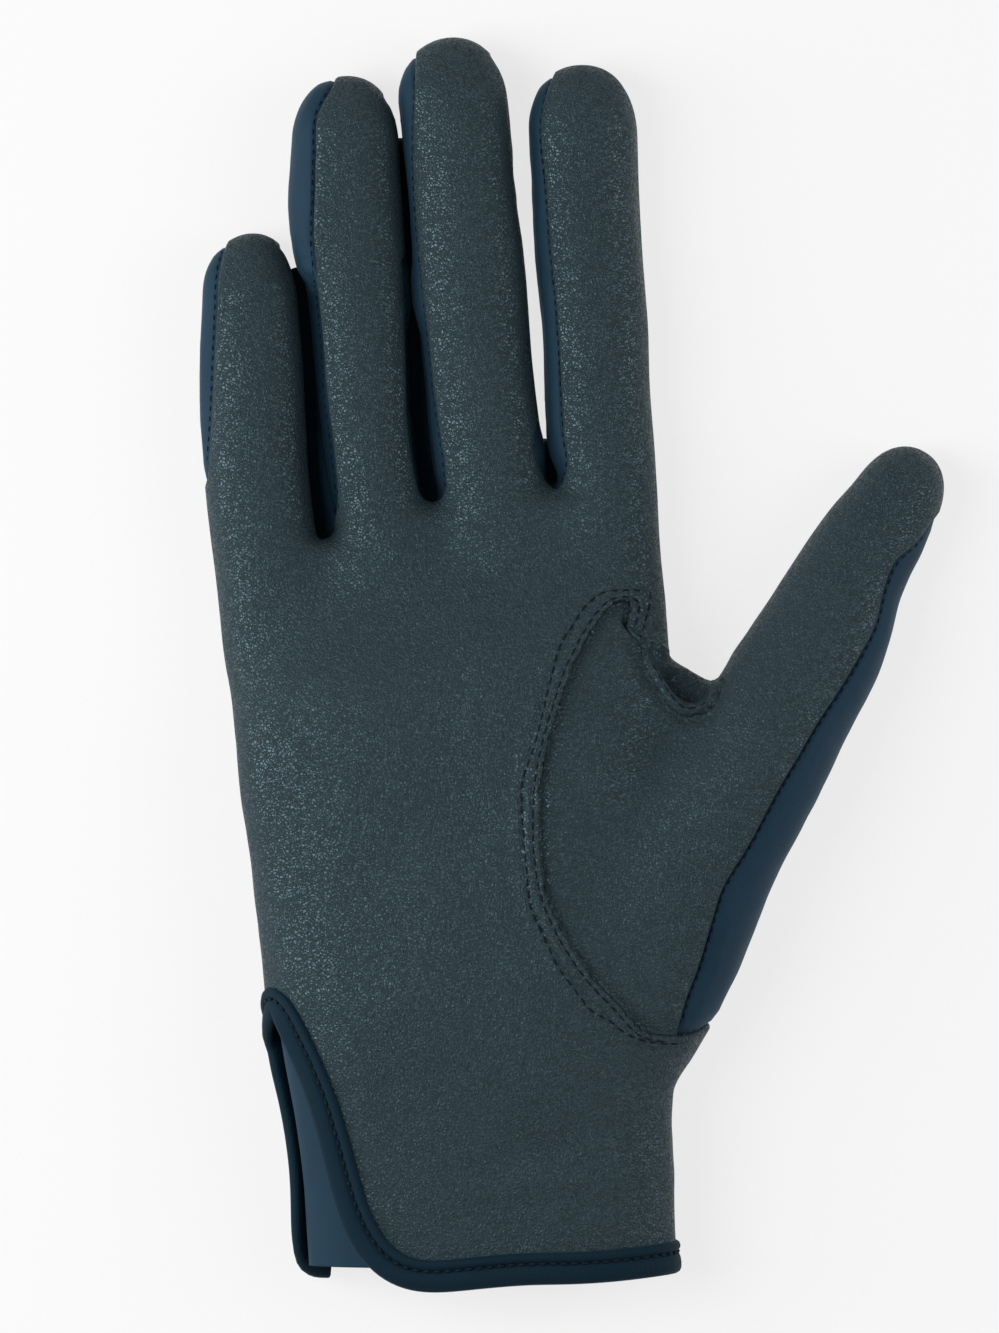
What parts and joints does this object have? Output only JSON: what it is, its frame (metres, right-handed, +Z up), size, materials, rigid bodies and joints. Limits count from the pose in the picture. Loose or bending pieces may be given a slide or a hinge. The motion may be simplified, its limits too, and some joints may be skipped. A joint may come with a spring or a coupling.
{
  "type": "horse riding glove",
  "caption": "Right-hand riding glove lying palm up: leather palm and thumb, navy stretch-cloth back and finger sides, taped hem and wrist vent.",
  "frame": {"origin": "middle of the glove's bounding box, on the surface that it lies on", "axes": "+Y from the hem to the fingertips, +X to the thumb's side, +Z up out of the palm"},
  "size_m": [0.1406, 0.2384, 0.0269],
  "materials": {
    "leather": "fine pebbled grain with a soft sheen",
    "stretch_cloth": "smooth satin-matt navy knit",
    "binding_tape": "matt navy ribbed tape"
  },
  "bodies": {
    "root": {"palm_panel": "leather", "back_panel": "stretch_cloth", "fourchette_little_ring": "stretch_cloth", "fourchette_ring_middle": "stretch_cloth", "fourchette_middle_index": "stretch_cloth", "thumb_front": "leather", "thumb_back": "stretch_cloth", "thumb_quirk": "leather", "hem_binding": "binding_tape", "vent_binding": "binding_tape", "vent_underlap": "stretch_cloth"}
  },
  "joints": []
}
